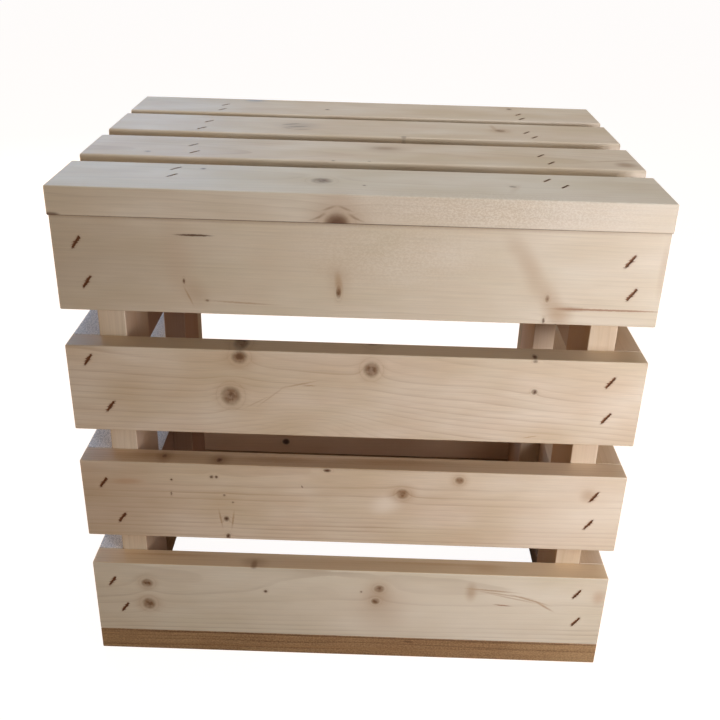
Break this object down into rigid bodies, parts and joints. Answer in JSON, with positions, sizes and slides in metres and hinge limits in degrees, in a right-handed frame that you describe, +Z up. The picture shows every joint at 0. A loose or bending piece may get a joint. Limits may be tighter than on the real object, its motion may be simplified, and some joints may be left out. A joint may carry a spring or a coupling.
{
  "type": "shipping crate",
  "caption": "Slatted softwood crate of planed planks stapled to corner posts, open at the middle of its base, with a lift-off slatted lid on two battens.",
  "frame": {"origin": "bottom of the base boards, in the middle of the lid's outline", "axes": "+X to the right along the front planks, +Y from the front to the back, +Z up"},
  "size_m": [0.457, 0.357, 0.434],
  "materials": {
    "planed_spruce": "planed, unfinished, with small knots",
    "brown_pine": "planed, darker brown, unfinished",
    "staple_wire": "dull galvanised wire, browned in the wood"
  },
  "bodies": {
    "crate": {"front_plank_1": "planed_spruce", "left_plank_1": "planed_spruce", "right_plank_1": "planed_spruce", "back_plank_1": "planed_spruce", "front_plank_2": "planed_spruce", "left_plank_2": "planed_spruce", "right_plank_2": "planed_spruce", "back_plank_2": "planed_spruce", "front_plank_3": "planed_spruce", "left_plank_3": "planed_spruce", "right_plank_3": "planed_spruce", "back_plank_3_left_end": "planed_spruce", "back_plank_3_right_end": "planed_spruce", "front_plank_4": "planed_spruce", "left_plank_4": "planed_spruce", "right_plank_4": "planed_spruce", "back_plank_4": "planed_spruce", "front_left_post": "planed_spruce", "front_right_post": "planed_spruce", "back_left_post": "planed_spruce", "back_right_post": "planed_spruce", "base_front_board": "brown_pine", "base_back_board": "brown_pine", "base_left_rail": "brown_pine", "base_right_rail": "brown_pine", "front_staples": "staple_wire", "back_staples": "staple_wire", "left_staples": "staple_wire", "right_staples": "staple_wire", "base_staples": "staple_wire"},
    "lid": {"lid_plank_1": "planed_spruce", "lid_plank_2": "planed_spruce", "lid_plank_3": "planed_spruce", "lid_plank_4": "planed_spruce", "lid_left_batten": "planed_spruce", "lid_right_batten": "planed_spruce", "lid_staples": "staple_wire"}
  },
  "joints": [
    {"name": "lid_lift", "type": "slide", "parent": "crate", "child": "lid", "axis": [0, 0, 1], "range_m": [0, 0.12]}
  ]
}
